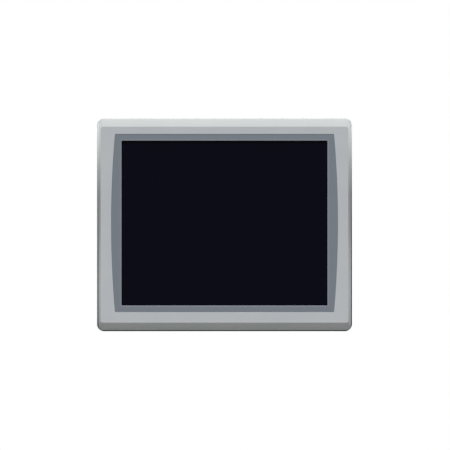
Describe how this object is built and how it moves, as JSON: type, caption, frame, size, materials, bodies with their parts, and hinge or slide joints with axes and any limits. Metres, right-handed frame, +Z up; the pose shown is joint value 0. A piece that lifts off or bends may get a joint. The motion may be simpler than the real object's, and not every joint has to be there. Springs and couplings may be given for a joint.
{
  "type": "hmi touch panel",
  "caption": "Panel-mount operator terminal: sloped light grey bezel, dark bowed surround, black touch screen, rear housing with ports, cam mounting levers and gasket.",
  "frame": {"origin": "middle of the cabinet cut-out, in the plane of the cabinet panel's front face, which is the gasket's back face", "axes": "+X to the operator's right, +Z up, +Y rearwards into the cabinet; the operator looks along +Y"},
  "size_m": [0.381, 0.0703, 0.318],
  "materials": {
    "bezel_paint": "light grey powder coat on die-cast aluminium",
    "surround": "dark grey fine-textured moulding",
    "screen": "black unlit touch screen glass",
    "rubber": "closed-cell sponge",
    "steel": "zinc-plated sheet and screws",
    "plated_steel": "nickel-plated shell",
    "housing_paint": "grey powder coat on aluminium",
    "board": "green solder mask",
    "dark_plastic": "moulded",
    "lever_plastic": "glass-filled nylon, moulded",
    "green_plastic": "moulded terminal block",
    "white_plastic": "moulded",
    "clear_plastic": "clear moulded",
    "aluminium": "extruded fins",
    "amber_film": "polyimide film",
    "pad": "soft thermal pad"
  },
  "bodies": {
    "root": {"bezel_frame": "bezel_paint", "overlay_frame": "surround", "touch_seal": "rubber", "touch_glass": "screen", "panel_gasket": "rubber", "lcd_frame": "steel", "lcd_cell": "screen", "light_guide": "clear_plastic", "led_bar": "white_plastic", "lcd_back_tray": "steel", "display_bracket_left": "steel", "display_bracket_right": "steel", "display_ribbon": "amber_film", "touch_controller_board": "board", "touch_flex": "amber_film", "rear_housing": "housing_paint", "module_cover": "housing_paint", "main_board": "board", "processor": "dark_plastic", "thermal_pad": "pad", "heat_sink": "aluminium", "power_header": "green_plastic", "ethernet_jack_1": "plated_steel", "ethernet_jack_2": "plated_steel", "usb_host_port_1": "plated_steel", "usb_host_port_2": "plated_steel", "usb_device_port": "plated_steel", "dip_switch_base": "dark_plastic", "reset_switch": "steel", "light_pipe_1": "clear_plastic", "light_pipe_2": "clear_plastic", "sd_card_socket": "plated_steel", "battery_holder": "dark_plastic", "battery_cell": "plated_steel", "ground_screw": "steel", "housing_screw_1": "steel", "housing_screw_2": "steel", "housing_screw_3": "steel", "housing_screw_4": "steel", "housing_screw_5": "steel", "housing_screw_6": "steel", "cover_screw_1": "steel", "cover_screw_2": "steel", "cover_screw_3": "steel", "cover_screw_4": "steel"},
    "mounting_lever_top_left": {"mounting_lever_top_left": "lever_plastic"},
    "mounting_lever_top_right": {"mounting_lever_top_right": "lever_plastic"},
    "mounting_lever_right_upper": {"mounting_lever_right_upper": "lever_plastic"},
    "mounting_lever_right_lower": {"mounting_lever_right_lower": "lever_plastic"},
    "mounting_lever_bottom_right": {"mounting_lever_bottom_right": "lever_plastic"},
    "mounting_lever_bottom_left": {"mounting_lever_bottom_left": "lever_plastic"},
    "mounting_lever_left_lower": {"mounting_lever_left_lower": "lever_plastic"},
    "mounting_lever_left_upper": {"mounting_lever_left_upper": "lever_plastic"},
    "sd_door": {"sd_door": "dark_plastic"},
    "battery_door": {"battery_door": "dark_plastic"},
    "reset_button": {"reset_button": "dark_plastic"},
    "dip_slider_1": {"dip_slider_1": "white_plastic"},
    "dip_slider_2": {"dip_slider_2": "white_plastic"},
    "power_plug": {"power_plug": "green_plastic"}
  },
  "joints": [
    {"name": "mounting_lever_top_left_turn", "type": "hinge", "parent": "root", "child": "mounting_lever_top_left", "pos_m": [-0.105, 0.014, 0.1437], "axis": [0, 0, 1], "range_deg": [-30, 75]},
    {"name": "mounting_lever_top_right_turn", "type": "hinge", "parent": "root", "child": "mounting_lever_top_right", "pos_m": [0.105, 0.014, 0.1437], "axis": [0, 0, 1], "range_deg": [-30, 75]},
    {"name": "mounting_lever_right_upper_turn", "type": "hinge", "parent": "root", "child": "mounting_lever_right_upper", "pos_m": [0.1752, 0.014, 0.075], "axis": [1, 0, 0], "range_deg": [-30, 75]},
    {"name": "mounting_lever_right_lower_turn", "type": "hinge", "parent": "root", "child": "mounting_lever_right_lower", "pos_m": [0.1752, 0.014, -0.075], "axis": [1, 0, 0], "range_deg": [-30, 75]},
    {"name": "mounting_lever_bottom_right_turn", "type": "hinge", "parent": "root", "child": "mounting_lever_bottom_right", "pos_m": [0.105, 0.014, -0.1437], "axis": [0, 0, -1], "range_deg": [-30, 75]},
    {"name": "mounting_lever_bottom_left_turn", "type": "hinge", "parent": "root", "child": "mounting_lever_bottom_left", "pos_m": [-0.105, 0.014, -0.1437], "axis": [0, 0, -1], "range_deg": [-30, 75]},
    {"name": "mounting_lever_left_lower_turn", "type": "hinge", "parent": "root", "child": "mounting_lever_left_lower", "pos_m": [-0.1752, 0.014, -0.075], "axis": [-1, 0, 0], "range_deg": [-30, 75]},
    {"name": "mounting_lever_left_upper_turn", "type": "hinge", "parent": "root", "child": "mounting_lever_left_upper", "pos_m": [-0.1752, 0.014, 0.075], "axis": [-1, 0, 0], "range_deg": [-30, 75]},
    {"name": "sd_door_hinge", "type": "hinge", "parent": "root", "child": "sd_door", "pos_m": [0.1172, 0.0507, 0.034], "axis": [0, 0, 1], "range_deg": [0, 105]},
    {"name": "battery_door_hinge", "type": "hinge", "parent": "root", "child": "battery_door", "pos_m": [-0.07, 0.0628, -0.0461], "axis": [-1, 0, 0], "range_deg": [0, 105]},
    {"name": "reset_press", "type": "slide", "parent": "root", "child": "reset_button", "axis": [0, 0, 1], "range_m": [0, 0.0008], "stiffness_N_per_m": 400, "springref_m": -0.0005},
    {"name": "dip_1_slide", "type": "slide", "parent": "root", "child": "dip_slider_1", "axis": [0, 1, 0], "range_m": [0, 0.0018]},
    {"name": "dip_2_slide", "type": "slide", "parent": "root", "child": "dip_slider_2", "axis": [0, 1, 0], "range_m": [0, 0.0018]},
    {"name": "power_plug_pull", "type": "slide", "parent": "root", "child": "power_plug", "axis": [0, 0, -1], "range_m": [0, 0.009]}
  ]
}
